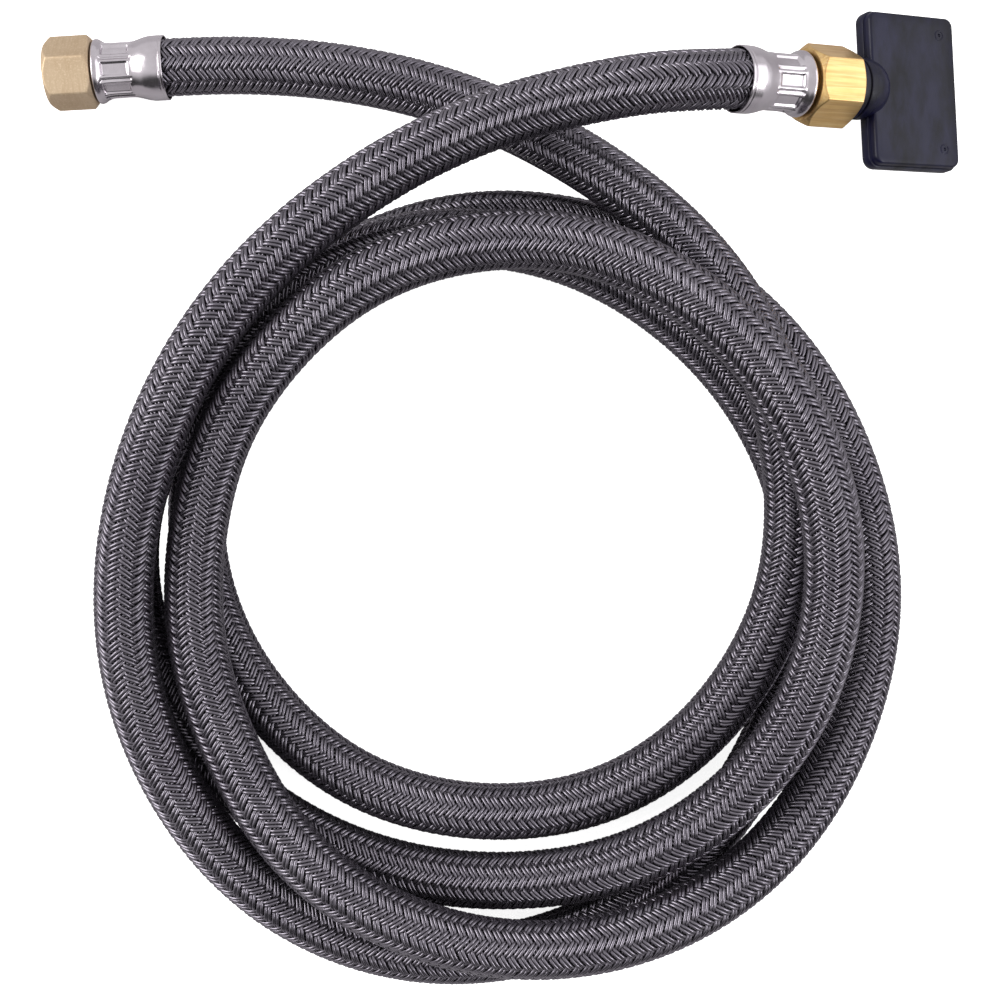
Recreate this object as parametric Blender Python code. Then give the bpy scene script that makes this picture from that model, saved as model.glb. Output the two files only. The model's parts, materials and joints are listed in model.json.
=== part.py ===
"""Braided supply line: a loosely coiled hose with a brass swivel nut on each end.

One end (A) is open, the other (B) is closed by a plastic plug. Lengths below are in millimetres
and are turned into metres where meshes are made. The origin lies on the floor under the middle of
the two fittings, +X runs from fitting A to fitting B and +Z is up.
"""
import math

import bmesh
import bpy
import numpy as np
from mathutils import Matrix, Vector

MM = 0.001

# Hose
HOSE_RADIUS = 7.1
BRAID_WALL = 1.0
LINER_RADIUS = 5.5
LINER_WALL = 1.2
BRAID_SIDES = 3          # bevel resolution: 10 sides
LINER_SIDES = 2          # bevel resolution: 8 sides

# Fittings, measured along their axis from the ferrule's mouth
FERRULE_A_LENGTH = 17.6
FERRULE_B_LENGTH = 18.4
BELL_RADIUS = 7.9
WAIST_RADIUS = 6.7
FERRULE_WALL = 0.4
DIMPLE_COUNT = 8
DIMPLE_LENGTH = 6.2
DIMPLE_WIDTH = 2.8
DIMPLE_DEPTH = 0.3
DIMPLE_MIDDLE = 11.7
NUT_A_START = 17.9
NUT_A_LENGTH = 11.6
NUT_A_FLATS = 15.875     # 5/8 inch
NUT_A_CHAMFER = 1.15
NUT_B_START = 19.1
NUT_B_LENGTH = 12.5
NUT_B_FLATS = 17.4625    # 11/16 inch
NUT_B_CHAMFER = 0.9
NUT_BORE = 6.7
NUT_BACK_WALL = 1.6
NUT_BACK_HOLE = 5.1
NECK_RADIUS = 4.7
STEM_RADIUS = 3.9
FLANGE_RADIUS = 6.3
FLANGE_START = 21.0
FLANGE_END = 22.5
WATERWAY_RADIUS = 3.1
WASHER_START = 22.8
WASHER_END = 25.6
BRAID_END = 5.5
LINER_END = 14.4

# Plug
STUB_START = 26.0
STUB_RADIUS = 6.3
COLLAR_RADIUS = 7.5
DOME_START = 38.3
DOME_LENGTH = 5.0
DOME_RADIUS = 7.2
PLATE_START = 37.4
PLATE_LENGTH = 27.0
PLATE_WIDTH = 38.8
PLATE_THICKNESS = 5.4
PLATE_CORNER = 2.6

TURNED_SIDES = 32

# Where the fittings lie: mouth of the ferrule, and the direction towards the nut
MOUTH_A = Vector((-84.8, 6.4, 9.0))
TURN_A = 183.4           # degrees about +Z
DROP_A = 0.0             # degrees below level
NUT_ROLL_A = -18.5
FERRULE_ROLL_A = -11.0
MOUTH_B = Vector((54.5, -2.1, 30.7))
TURN_B = 2.6
DROP_B = 24.6
NUT_ROLL_B = 3.9
FERRULE_ROLL_B = 10.0
PLUG_ROLL = -0.5

# The hose's route between the two mouths, at the centre of the hose
TAIL_A = [(-71.7, 7.2, 7.9), (-57.0, 7.1, 7.1), (-37.9, 5.0, 7.1), (-18.5, 0.4, 8.0), (1.1, -7.9, 12.0)]
COIL_CENTRE = (-1.4, -117.3)
COIL_START = 75.0        # degrees
COIL_STEP = -20.0
# (distance from the coil's centre, height), one pair for each step
COIL = [
    (98.5, 18.0), (88.0, 22.0), (80.0, 22.0), (73.5, 21.5), (69.5, 19.5), (66.5, 15.0), (65.0, 10.0),
    (64.0, 7.5), (63.0, 7.1), (63.5, 7.1), (65.5, 7.1), (68.0, 7.1), (72.0, 7.1), (76.5, 7.1),
    (80.5, 7.1), (83.5, 7.1), (85.0, 7.1), (86.0, 7.1), (86.5, 7.1), (87.5, 7.1), (89.0, 7.1),
    (91.0, 7.1), (94.0, 7.5), (96.0, 10.0), (97.5, 15.0), (96.5, 20.5), (94.0, 22.0), (90.5, 21.5),
    (85.5, 22.0), (79.5, 21.0), (76.0, 21.5), (73.5, 23.0), (73.0, 27.0), (73.0, 31.5), (74.5, 34.0),
    (76.0, 34.5), (77.5, 34.5), (77.5, 35.5), (77.5, 37.0), (78.0, 36.0), (79.0, 31.5), (80.0, 26.5),
    (80.0, 22.0), (79.5, 17.5), (79.5, 11.0), (81.0, 7.5), (84.0, 7.1), (88.0, 7.1), (91.0, 9.0),
    (91.5, 14.0), (87.5, 20.0), (84.5, 22.0), (82.5, 21.5), (79.5, 20.5), (76.5, 18.0), (74.5, 13.5),
    (74.5, 8.5), (75.5, 7.1), (77.0, 7.1), (79.5, 7.1), (84.0, 7.1), (90.5, 7.1), (97.0, 7.1),
    (101.0, 8.0), (100.5, 12.5), (96.5, 19.0), (92.5, 24.5), (88.5, 30.0), (86.5, 35.0), (88.0, 36.5),
    (93.0, 35.0),
]
TAIL_B = [(1.0, -11.0, 33.5), (18.7, -7.0, 36.0), (35.9, -4.4, 36.6), (45.5, -3.3, 34.4)]


def material(name, colour, metallic, roughness):
    """A Principled material of one colour."""
    made = bpy.data.materials.new(name)
    made.use_nodes = True
    shader = made.node_tree.nodes["Principled BSDF"]
    shader.inputs["Base Color"].default_value = (*colour, 1.0)
    shader.inputs["Metallic"].default_value = metallic
    shader.inputs["Roughness"].default_value = roughness
    return made


def new_object(name, data, look):
    """An object in the scene with one material."""
    made = bpy.data.objects.new(name, data)
    bpy.context.scene.collection.objects.link(made)
    if look is not None:
        data.materials.append(look)
    return made


def fitting_frame(name, mouth, turn, drop):
    """An empty at a ferrule's mouth whose +X points along the fitting, towards its nut."""
    empty = bpy.data.objects.new(name, None)
    bpy.context.scene.collection.objects.link(empty)
    turned_by = Matrix.Rotation(math.radians(turn), 4, "Z")
    dropped_by = Matrix.Rotation(math.radians(drop), 4, "Y")
    empty.matrix_world = Matrix.Translation(mouth * MM) @ turned_by @ dropped_by
    return empty


def axis_of(turn, drop):
    """The direction of a fitting's axis."""
    turn = math.radians(turn)
    drop = math.radians(drop)
    return Vector((math.cos(drop) * math.cos(turn), math.cos(drop) * math.sin(turn), -math.sin(drop)))


def turned(outline, sides=TURNED_SIDES):
    """A mesh turned about the X axis from (position, radius) points.

    An outline that starts and ends at radius 0 is a solid, any other is a closed ring.
    """
    mesh = bmesh.new()
    rings = []
    for position, radius in outline:
        if radius == 0:
            rings.append([mesh.verts.new((position * MM, 0, 0))])
            continue
        ring = []
        for side in range(sides):
            angle = 2 * math.pi * side / sides
            ring.append(mesh.verts.new((position * MM, radius * math.cos(angle) * MM,
                                        radius * math.sin(angle) * MM)))
        rings.append(ring)
    solid = len(rings[0]) == 1
    pairs = list(zip(rings, rings[1:]))
    if not solid:
        pairs.append((rings[-1], rings[0]))
    for one, two in pairs:
        for side in range(sides):
            after = (side + 1) % sides
            if len(one) == 1:
                corners = (one[0], two[side], two[after])
            elif len(two) == 1:
                corners = (one[side], one[after], two[0])
            else:
                corners = (one[side], one[after], two[after], two[side])
            mesh.faces.new(corners)
    bmesh.ops.recalc_face_normals(mesh, faces=mesh.faces)
    return mesh


def finish_mesh(name, mesh, smooth_angle=35):
    """Mesh data from bmesh, smooth where round and sharp at edges."""
    data = bpy.data.meshes.new(name)
    mesh.to_mesh(data)
    mesh.free()
    data.shade_smooth()
    data.set_sharp_from_angle(angle=math.radians(smooth_angle))
    return data


def put_on(made, frame, roll=0.0):
    """Parents an object to a fitting's frame, rolled about the fitting's axis."""
    made.parent = frame
    made.rotation_euler = (math.radians(roll), 0, 0)
    return made


def cut_with(made, cutter, operation):
    """A Boolean with a helper object that is left out of the part."""
    cutter.hide_render = True
    cutter.display_type = "WIRE"
    change = made.modifiers.new(operation.lower(), "BOOLEAN")
    change.operation = operation
    change.object = cutter
    change.solver = "EXACT"


def box_mesh(x_range, y_range, z_range):
    """A bmesh box between three ranges in millimetres."""
    mesh = bmesh.new()
    bmesh.ops.create_cube(mesh, size=1.0)
    low = Vector((x_range[0], y_range[0], z_range[0]))
    high = Vector((x_range[1], y_range[1], z_range[1]))
    for vert in mesh.verts:
        vert.co = Vector(low[i] + (vert.co[i] + 0.5) * (high[i] - low[i]) for i in range(3)) * MM
    return mesh


def nut(name, frame, flats, start, length, chamfer, roll, look):
    """A hexagon swivel nut: chamfered ends, threaded bore, and a lip with a hole at the back."""
    corner = flats / math.sqrt(3)
    front = start + length
    outline = [
        (start, flats / 2 - 0.15), (start + chamfer, corner + 0.3),
        (front - chamfer, corner + 0.3), (front, flats / 2 - 0.15),
        (front, NUT_BORE + 0.4), (front - 0.6, NUT_BORE),
        (start + NUT_BACK_WALL, NUT_BORE), (start + NUT_BACK_WALL, NUT_BACK_HOLE),
        (start, NUT_BACK_HOLE),
    ]
    body = new_object(name, finish_mesh(name, turned(outline, 48), 20), look)
    prism = bmesh.new()
    corners = []
    for side in range(6):
        angle = math.radians(60 * side + 30)
        corners.append(prism.verts.new(((start - 2) * MM, corner * math.sin(angle) * MM,
                                        corner * math.cos(angle) * MM)))
    end = prism.faces.new(corners)
    pulled = bmesh.ops.extrude_face_region(prism, geom=[end])
    moved = [item for item in pulled["geom"] if isinstance(item, bmesh.types.BMVert)]
    bmesh.ops.translate(prism, verts=moved, vec=((length + 4) * MM, 0, 0))
    bmesh.ops.recalc_face_normals(prism, faces=prism.faces)
    cutter = new_object(name + "_hexagon", finish_mesh(name + "_hexagon", prism, 20), None)
    cut_with(body, cutter, "INTERSECT")
    put_on(cutter, frame, roll)
    return put_on(body, frame, roll)


def ferrule(name, frame, length, roll, look):
    """A crimped ferrule: open bell over the hose, dimpled waist, rounded collar at the nut."""
    bell_in = BELL_RADIUS - FERRULE_WALL
    waist_in = LINER_RADIUS + 0.35
    outline = [
        (0, BELL_RADIUS), (5.0, BELL_RADIUS - 0.15), (7.6, WAIST_RADIUS + 0.3), (8.4, WAIST_RADIUS),
        (15.2, WAIST_RADIUS), (length - 1.8, WAIST_RADIUS + 0.6), (length - 1.4, BELL_RADIUS),
        (length - 0.4, BELL_RADIUS - 0.05), (length, BELL_RADIUS - 0.5), (length, NECK_RADIUS + 0.4),
        (length - 0.7, NECK_RADIUS + 0.4), (length - 1.5, NECK_RADIUS + 1.1), (15.2, waist_in), (8.0, waist_in),
        (5.8, bell_in - 0.3), (0, bell_in),
    ]
    shell = new_object(name, finish_mesh(name, turned(outline, 48)), look)
    dimples = bmesh.new()
    for index in range(DIMPLE_COUNT):
        block = box_mesh((DIMPLE_MIDDLE - DIMPLE_LENGTH / 2, DIMPLE_MIDDLE + DIMPLE_LENGTH / 2),
                         (-DIMPLE_WIDTH / 2, DIMPLE_WIDTH / 2),
                         (WAIST_RADIUS - DIMPLE_DEPTH, WAIST_RADIUS + 2))
        block.transform(Matrix.Rotation(2 * math.pi * index / DIMPLE_COUNT, 4, "X"))
        spare = bpy.data.meshes.new("dimple")
        block.to_mesh(spare)
        block.free()
        dimples.from_mesh(spare)
        bpy.data.meshes.remove(spare)
    cutter = new_object(name + "_dimples", finish_mesh(name + "_dimples", dimples), None)
    cut_with(shell, cutter, "DIFFERENCE")
    put_on(cutter, frame, roll)
    return put_on(shell, frame, roll)


def nipple(name, frame, look):
    """The stem: barbed tail in the liner, neck through the nut's lip, flange that holds the nut."""
    barbs = []
    for start in (2.5, 5.5, 8.5, 11.5):
        barbs += [(start, STEM_RADIUS - 0.35), (start + 2.2, STEM_RADIUS), (start + 2.3, STEM_RADIUS - 0.35)]
    outline = [(1.0, STEM_RADIUS - 0.4)] + barbs + [
        (14.9, STEM_RADIUS - 0.35), (14.9, NECK_RADIUS), (FLANGE_START, NECK_RADIUS),
        (FLANGE_START, FLANGE_RADIUS), (FLANGE_END, FLANGE_RADIUS), (FLANGE_END, WATERWAY_RADIUS),
        (1.0, WATERWAY_RADIUS),
    ]
    return put_on(new_object(name, finish_mesh(name, turned(outline)), look), frame)


def cone_washer(name, frame, look):
    """The rubber cone washer that lies on the nipple's flange."""
    outline = [
        (WASHER_START, FLANGE_RADIUS), (WASHER_START + 0.9, FLANGE_RADIUS),
        (WASHER_END, FLANGE_RADIUS - 1.7), (WASHER_END, WATERWAY_RADIUS + 0.3),
        (WASHER_START, WATERWAY_RADIUS + 0.3),
    ]
    return put_on(new_object(name, finish_mesh(name, turned(outline)), look), frame)


def plug(name, frame, look):
    """The plug: stub in the nut, collar with a domed end, and a rounded grip plate, all one moulding."""
    front = NUT_B_START + NUT_B_LENGTH + 0.3
    outline = [
        (STUB_START, 0), (STUB_START, STUB_RADIUS - 0.5), (STUB_START + 0.6, STUB_RADIUS),
        (front, STUB_RADIUS), (front, COLLAR_RADIUS), (front + 1.8, COLLAR_RADIUS),
        (front + 2.0, COLLAR_RADIUS - 0.4), (front + 2.4, COLLAR_RADIUS - 0.4),
        (front + 2.6, COLLAR_RADIUS), (DOME_START - 0.2, COLLAR_RADIUS),
    ]
    for angle in (0, 30, 50, 70):
        outline.append((DOME_START + DOME_LENGTH * math.sin(math.radians(angle)),
                        DOME_RADIUS * math.cos(math.radians(angle))))
    outline.append((DOME_START + DOME_LENGTH, 0))
    stub = new_object(name, finish_mesh(name, turned(outline)), look)
    plate = box_mesh((PLATE_START, PLATE_START + PLATE_LENGTH), (-PLATE_WIDTH / 2, PLATE_WIDTH / 2),
                     (-PLATE_THICKNESS / 2, PLATE_THICKNESS / 2))
    upright = [edge for edge in plate.edges
               if abs(edge.verts[0].co.z - edge.verts[1].co.z) > PLATE_THICKNESS * MM / 2]
    bmesh.ops.bevel(plate, geom=upright, offset=PLATE_CORNER * MM, segments=4, profile=0.5, affect="EDGES")
    rims = [edge for edge in plate.edges if len(edge.link_faces) == 2 and edge.calc_face_angle() > 1.2]
    bmesh.ops.bevel(plate, geom=rims, offset=0.5 * MM, segments=1, affect="EDGES")
    grip = new_object(name + "_plate", finish_mesh(name + "_plate", plate), None)
    cut_with(stub, grip, "UNION")
    put_on(grip, frame, PLUG_ROLL)
    return put_on(stub, frame, PLUG_ROLL)


def smooth_curve(points, per_span):
    """Points along the natural cubic spline through the given points."""
    points = np.asarray(points, float)
    spans = np.linalg.norm(np.diff(points, axis=0), axis=1)
    count = len(points)
    matrix = np.eye(count)
    right = np.zeros((count, 3))
    for i in range(1, count - 1):
        before, after = spans[i - 1], spans[i]
        matrix[i, i - 1:i + 2] = before, 2 * (before + after), after
        right[i] = 6 * ((points[i + 1] - points[i]) / after - (points[i] - points[i - 1]) / before)
    bend = np.linalg.solve(matrix, right)
    out = []
    for i in range(count - 1):
        for t in np.arange(per_span) / per_span:
            s = 1 - t
            lift = ((s ** 3 - s) * bend[i] + (t ** 3 - t) * bend[i + 1]) * spans[i] ** 2 / 6
            out.append(s * points[i] + t * points[i + 1] + lift)
    out.append(points[-1])
    out = np.array(out)
    out[:, 2] = np.maximum(out[:, 2], HOSE_RADIUS)
    return out


def hose_points(end_a, end_b):
    """The hose's centre line, straight into each ferrule as far as the given depths."""
    axis_a = np.array(axis_of(TURN_A, DROP_A))
    axis_b = np.array(axis_of(TURN_B, DROP_B))
    mouth_a = np.array(MOUTH_A)
    mouth_b = np.array(MOUTH_B)
    coil = []
    for index, (radius, height) in enumerate(COIL):
        angle = math.radians(COIL_START + COIL_STEP * index)
        coil.append((COIL_CENTRE[0] + radius * math.cos(angle),
                     COIL_CENTRE[1] + radius * math.sin(angle), height))
    free = smooth_curve([mouth_a, *TAIL_A, *coil, *TAIL_B, mouth_b], 1)
    return np.vstack([mouth_a + axis_a * end_a, free, mouth_b + axis_b * end_b])


def hose_tube(name, end, radius, wall, resolution, look):
    """A hollow tube along the hose's centre line."""
    points = hose_points(end, end)
    curve = bpy.data.curves.new(name, "CURVE")
    curve.dimensions = "3D"
    curve.bevel_depth = radius * MM
    curve.bevel_resolution = resolution
    curve.resolution_u = 1
    curve.render_resolution_u = 0
    spline = curve.splines.new("POLY")
    spline.points.add(len(points) - 1)
    for place, point in zip(spline.points, points):
        place.co = (*(point * MM), 1)
    tube = new_object(name, curve, look)
    shell = tube.modifiers.new("wall", "SOLIDIFY")
    shell.thickness = wall * MM
    shell.offset = -1
    shell.use_rim = True
    return tube


def build():
    """Makes every piece."""
    steel = material("steel", (0.62, 0.60, 0.62), 1.0, 0.25)
    brass_a = material("brass_a", (0.72, 0.56, 0.34), 1.0, 0.45)
    brass_b = material("brass_b", (0.83, 0.60, 0.28), 1.0, 0.35)
    brass_stem = material("brass_stem", (0.75, 0.58, 0.32), 1.0, 0.35)
    braid = material("braid", (0.22, 0.20, 0.24), 0.9, 0.35)
    liner = material("liner", (0.03, 0.03, 0.03), 0.0, 0.7)
    rubber = material("rubber", (0.03, 0.03, 0.03), 0.0, 0.7)
    plastic = material("plastic", (0.05, 0.05, 0.07), 0.0, 0.4)

    frame_a = fitting_frame("fitting_a", MOUTH_A, TURN_A, DROP_A)
    frame_b = fitting_frame("fitting_b", MOUTH_B, TURN_B, DROP_B)
    nut("nut_a", frame_a, NUT_A_FLATS, NUT_A_START, NUT_A_LENGTH, NUT_A_CHAMFER, NUT_ROLL_A, brass_a)
    nut("nut_b", frame_b, NUT_B_FLATS, NUT_B_START, NUT_B_LENGTH, NUT_B_CHAMFER, NUT_ROLL_B, brass_b)
    ferrule("ferrule_a", frame_a, FERRULE_A_LENGTH, FERRULE_ROLL_A, steel)
    ferrule("ferrule_b", frame_b, FERRULE_B_LENGTH, FERRULE_ROLL_B, steel)
    for end, frame in (("a", frame_a), ("b", frame_b)):
        nipple("nipple_" + end, frame, brass_stem)
        cone_washer("cone_washer_" + end, frame, rubber)
    plug("plug", frame_b, plastic)
    hose_tube("hose_braid", BRAID_END, HOSE_RADIUS, BRAID_WALL, BRAID_SIDES, braid)
    hose_tube("hose_liner", LINER_END, LINER_RADIUS, LINER_WALL, LINER_SIDES, liner)


for old in list(bpy.data.objects):
    bpy.data.objects.remove(old)
build()
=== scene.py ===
import json
import math

import bmesh
import bpy
import numpy as np
from mathutils import Matrix, Vector

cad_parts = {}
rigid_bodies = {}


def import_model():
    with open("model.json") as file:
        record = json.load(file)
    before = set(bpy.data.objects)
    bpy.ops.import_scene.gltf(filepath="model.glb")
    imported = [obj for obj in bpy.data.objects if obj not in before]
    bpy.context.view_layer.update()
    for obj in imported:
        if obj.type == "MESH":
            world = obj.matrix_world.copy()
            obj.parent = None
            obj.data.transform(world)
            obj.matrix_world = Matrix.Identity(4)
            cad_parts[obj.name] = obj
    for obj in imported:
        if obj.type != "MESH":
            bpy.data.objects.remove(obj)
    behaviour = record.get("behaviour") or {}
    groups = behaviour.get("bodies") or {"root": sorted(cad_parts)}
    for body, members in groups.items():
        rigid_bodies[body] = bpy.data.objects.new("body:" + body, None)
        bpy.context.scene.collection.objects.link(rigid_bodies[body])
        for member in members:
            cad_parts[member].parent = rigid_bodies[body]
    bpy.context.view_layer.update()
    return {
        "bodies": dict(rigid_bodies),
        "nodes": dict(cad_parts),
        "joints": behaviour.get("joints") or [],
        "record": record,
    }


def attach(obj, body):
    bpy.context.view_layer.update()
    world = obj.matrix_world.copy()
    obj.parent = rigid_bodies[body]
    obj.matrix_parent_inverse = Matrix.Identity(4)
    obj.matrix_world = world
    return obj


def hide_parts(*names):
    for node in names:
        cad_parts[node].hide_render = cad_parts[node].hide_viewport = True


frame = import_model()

MM = 0.001

# Camera
CAMERA_PLACE = (-1.4, -101.9, 415.0)
CAMERA_LENS = 58.36
SENSOR_WIDTH = 36.0
CLIP_START = 10.0

# Light: the sky darkens towards the near side, between two values of the direction's Y part
SKY_BRIGHT = 0.85
SKY_DARK = 0.06
SKY_COLOUR = (1.0, 0.985, 1.0, 1.0)
SKY_EDGE = (-0.50, -0.78)
# name, place and size in metres, power in watts, colour
LAMPS = (
    ("lamp_left", (-0.95, 0.10, 0.62), (0.9, 0.7), 9.8, (1.0, 0.99, 0.98)),
    ("lamp_right", (0.95, 0.12, 0.62), (1.0, 0.7), 2.8, (0.98, 0.98, 1.0)),
    ("lamp_spark", (0.8, -0.45, 0.55), (0.3, 0.3), 1.9, (1.0, 1.0, 1.0)),
)
LAMP_AIM = (0, -0.1, 0.02)

# Floor
FLOOR_SIZE = 6.0         # metres
FLOOR_DEPTH = 0.2        # below the part's lowest point
FLOOR_SEEN = (0.98, 0.98, 0.98, 1)
FLOOR_REFLECTED = (0.47, 0.46, 0.47, 1)
FLOOR_FILL = 0.85        # how far it shines towards the camera

# Hose
HOSE_RADIUS = 7.1
CARRIERS = 12            # in each direction
BRAID_LEAD = 28.8
BRAID_LAYER = 6.35       # radius at which the two directions cross
BRAID_LIFT = 0.42        # how far a bundle rises and sinks
WIRE_WIDTH = 0.82
WIRE_HEIGHT = 0.66
WIRE_PITCH = 0.84        # between the two wires of a bundle
WIRE_SAMPLES = 0.8       # along a bundle
WIRE_SECTION = np.radians([-105, -52, 0, 52, 105])   # a wire's outer side, as angles from its top
WAVE_SHARPNESS = 1.45    # above 1, a bundle runs level between its crossings
WANDER = 0.05            # sideways drift of a bundle
WANDER_STEP = 20.0
LINER_RADIUS = 5.5
LINER_BORE = 4.3
LINER_SIDES = 24
LINER_STEP = 3.0
BRAID_END = 5.5          # how far the braid and the liner run into a ferrule
LINER_END = 14.4
POINTS_PER_SPAN = 24     # of the centre line, between two points of the route

# Fittings, measured along their axis from the ferrule's mouth
FERRULE_A_LENGTH = 17.6
FERRULE_B_LENGTH = 18.4
BELL_RADIUS = 7.95
BELL_WALL = 0.4
WAIST_RADIUS = 6.75
CRIMP_BORE = LINER_RADIUS + 0.25
FERRULE_ANGLES = 320

# Pockets pressed into a ferrule's waist: where they rise and fall along it, and sizes from their middle line
POCKET_COUNT = 8
POCKET_SPAN = ((8.35, 8.95), (14.75, 15.3))
POCKET_EDGE = (1.25, 1.75)
POCKET_DEPTH = 0.50
POCKET_CURVE = 0.05
FRAME_SPAN = ((7.6, 8.2), (15.2, 15.7))
FRAME_MIDDLE = 1.98
FRAME_WIDTH = 0.30
FRAME_HEIGHT = 0.15
VALLEY_EDGE = (2.2, 2.62)
VALLEY_DEPTH = 0.22

# Nuts, measured like the ferrules
NUT_A_START = 17.9
NUT_A_LENGTH = 11.6
NUT_A_FLATS = 15.875
NUT_A_SLOPES = (1.25, 1.0)   # of the chamfers, back and front
NUT_B_START = 19.1
NUT_B_LENGTH = 12.5
NUT_B_FLATS = 17.4625
NUT_B_SLOPES = (1.0, 1.7)
NUT_END_INSET = 0.30     # of a chamfer's small end from the flats
NUT_EASE = 0.16          # rounding between chamfer and flats
NUT_CORNER_EASE = 0.10
NUT_CORNER_ARC = 1.3     # degrees
NUT_END_ZONE = 2.2       # finely divided length at both ends
NUT_ANGLES_PER_SIDE = 40
THREAD_MINOR = 6.62
THREAD_MAJOR = 7.1
THREAD_PITCH = 25.4 / 24
NUT_BACK_WALL = 1.6
NUT_BACK_HOLE = 5.1

# Nipples and cone washers, measured like the ferrules
NECK_RADIUS = 4.7
STEM_RADIUS = 3.9
STEM_START = 1.0
STEM_END = 14.9
BARB_STARTS = (2.5, 5.5, 8.5, 11.5)
BARB_LENGTH = 2.2
BARB_DEPTH = 0.35
FLANGE_RADIUS = 6.3
FLANGE_START = 21.0
FLANGE_END = 22.5
WATERWAY_RADIUS = 3.1
WASHER_START = 22.8
WASHER_END = 25.6
WASHER_RIM = 0.9
WASHER_TAPER = 1.7
TURNED_ANGLES = 96

# Plug, measured like the ferrules; its groove from the collar's start
STUB_START = 26.0
STUB_RADIUS = 6.3
COLLAR_GAP = 0.3         # to the nut
COLLAR_RADIUS = 7.5
GROOVE = (1.8, 1.9, 2.3, 2.4)
GROOVE_DEPTH = 0.5
DOME_START = 36.4
DOME_LENGTH = 6.9
DOME_RADIUS = 7.2
PLATE_START = 37.4
PLATE_LENGTH = 27.0
PLATE_WIDTH = 38.8
PLATE_THICKNESS = 5.4
PLATE_CORNER = 2.8
MARK_FROM_END = 5.2
MARK_FROM_SIDES = (5.2, 5.0)

# Where the fittings lie: mouth of the ferrule, and the direction towards the nut
MOUTH_A = (-84.8, 6.4, 9.0)
TURN_A = 183.4
DROP_A = 0.0
NUT_ROLL_A = -18.5
FERRULE_ROLL_A = -11.0
MOUTH_B = (54.5, -2.1, 30.7)
TURN_B = 2.6
DROP_B = 24.6
NUT_ROLL_B = 3.9
FERRULE_ROLL_B = 10.0
PLUG_ROLL = -0.5

# The hose's route between the two mouths, at the centre of the hose
TAIL_A = [(-71.7, 7.2, 7.9), (-57.0, 7.1, 7.1), (-37.9, 5.0, 7.1), (-18.5, 0.4, 8.0), (1.1, -7.9, 12.0)]
COIL_CENTRE = (-1.4, -117.3)
COIL_START = 75.0        # degrees
COIL_STEP = -20.0
# (distance from the coil's centre, height), one pair for each step
COIL = [
    (98.5, 18.0), (88.0, 22.0), (80.0, 22.0), (73.5, 21.5), (69.5, 19.5), (66.5, 15.0), (65.0, 10.0),
    (64.0, 7.5), (63.0, 7.1), (63.5, 7.1), (65.5, 7.1), (68.0, 7.1), (72.0, 7.1), (76.5, 7.1),
    (80.5, 7.1), (83.5, 7.1), (85.0, 7.1), (86.0, 7.1), (86.5, 7.1), (87.5, 7.1), (89.0, 7.1),
    (91.0, 7.1), (94.0, 7.5), (96.0, 10.0), (97.5, 15.0), (96.5, 20.5), (94.0, 22.0), (90.5, 21.5),
    (85.5, 22.0), (79.5, 21.0), (76.0, 21.5), (73.5, 23.0), (73.0, 27.0), (73.0, 31.5), (74.5, 34.0),
    (76.0, 34.5), (77.5, 34.5), (77.5, 35.5), (77.5, 37.0), (78.0, 36.0), (79.0, 31.5), (80.0, 26.5),
    (80.0, 22.0), (79.5, 17.5), (79.5, 11.0), (81.0, 7.5), (84.0, 7.1), (88.0, 7.1), (91.0, 9.0),
    (91.5, 14.0), (87.5, 20.0), (84.5, 22.0), (82.5, 21.5), (79.5, 20.5), (76.5, 18.0), (74.5, 13.5),
    (74.5, 8.5), (75.5, 7.1), (77.0, 7.1), (79.5, 7.1), (84.0, 7.1), (90.5, 7.1), (97.0, 7.1),
    (101.0, 8.0), (100.5, 12.5), (96.5, 19.0), (92.5, 24.5), (88.5, 30.0), (86.5, 35.0), (88.0, 36.5),
    (93.0, 35.0),
]
TAIL_B = [(1.0, -11.0, 33.5), (18.7, -7.0, 36.0), (35.9, -4.4, 36.6), (45.5, -3.3, 34.4)]


# ---------------------------------------------------------------- camera, floor and light

def camera():
    """Straight above the coil and the fittings."""
    data = bpy.data.cameras.new("camera")
    data.lens = CAMERA_LENS
    data.sensor_width = SENSOR_WIDTH
    data.clip_start = CLIP_START * MM
    made = bpy.data.objects.new("camera", data)
    made.location = Vector(CAMERA_PLACE) * MM
    bpy.context.scene.collection.objects.link(made)
    bpy.context.scene.camera = made


def area_light(name, place, size, power, colour):
    """A soft rectangular lamp that points at the part."""
    data = bpy.data.lights.new(name, "AREA")
    data.shape = "RECTANGLE"
    data.size, data.size_y = size
    data.energy = power
    data.color = colour
    made = bpy.data.objects.new(name, data)
    made.location = place
    made.rotation_euler = (Vector(LAMP_AIM) - Vector(place)).to_track_quat("-Z", "Y").to_euler()
    bpy.context.scene.collection.objects.link(made)


def sky():
    """An even bright sky that is darker low down on the near side."""
    world = bpy.data.worlds.new("studio")
    world.use_nodes = True
    nodes, links = world.node_tree.nodes, world.node_tree.links
    place = nodes.new("ShaderNodeTexCoord")
    parts = nodes.new("ShaderNodeSeparateXYZ")
    links.new(place.outputs["Generated"], parts.inputs["Vector"])
    near = nodes.new("ShaderNodeMapRange")
    near.interpolation_type = "SMOOTHSTEP"
    near.inputs["From Min"].default_value, near.inputs["From Max"].default_value = SKY_EDGE
    near.inputs["To Min"].default_value = SKY_BRIGHT
    near.inputs["To Max"].default_value = SKY_DARK
    links.new(parts.outputs["Y"], near.inputs["Value"])
    back = nodes["Background"]
    back.inputs["Color"].default_value = SKY_COLOUR
    links.new(near.outputs["Result"], back.inputs["Strength"])
    bpy.context.scene.world = world


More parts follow.
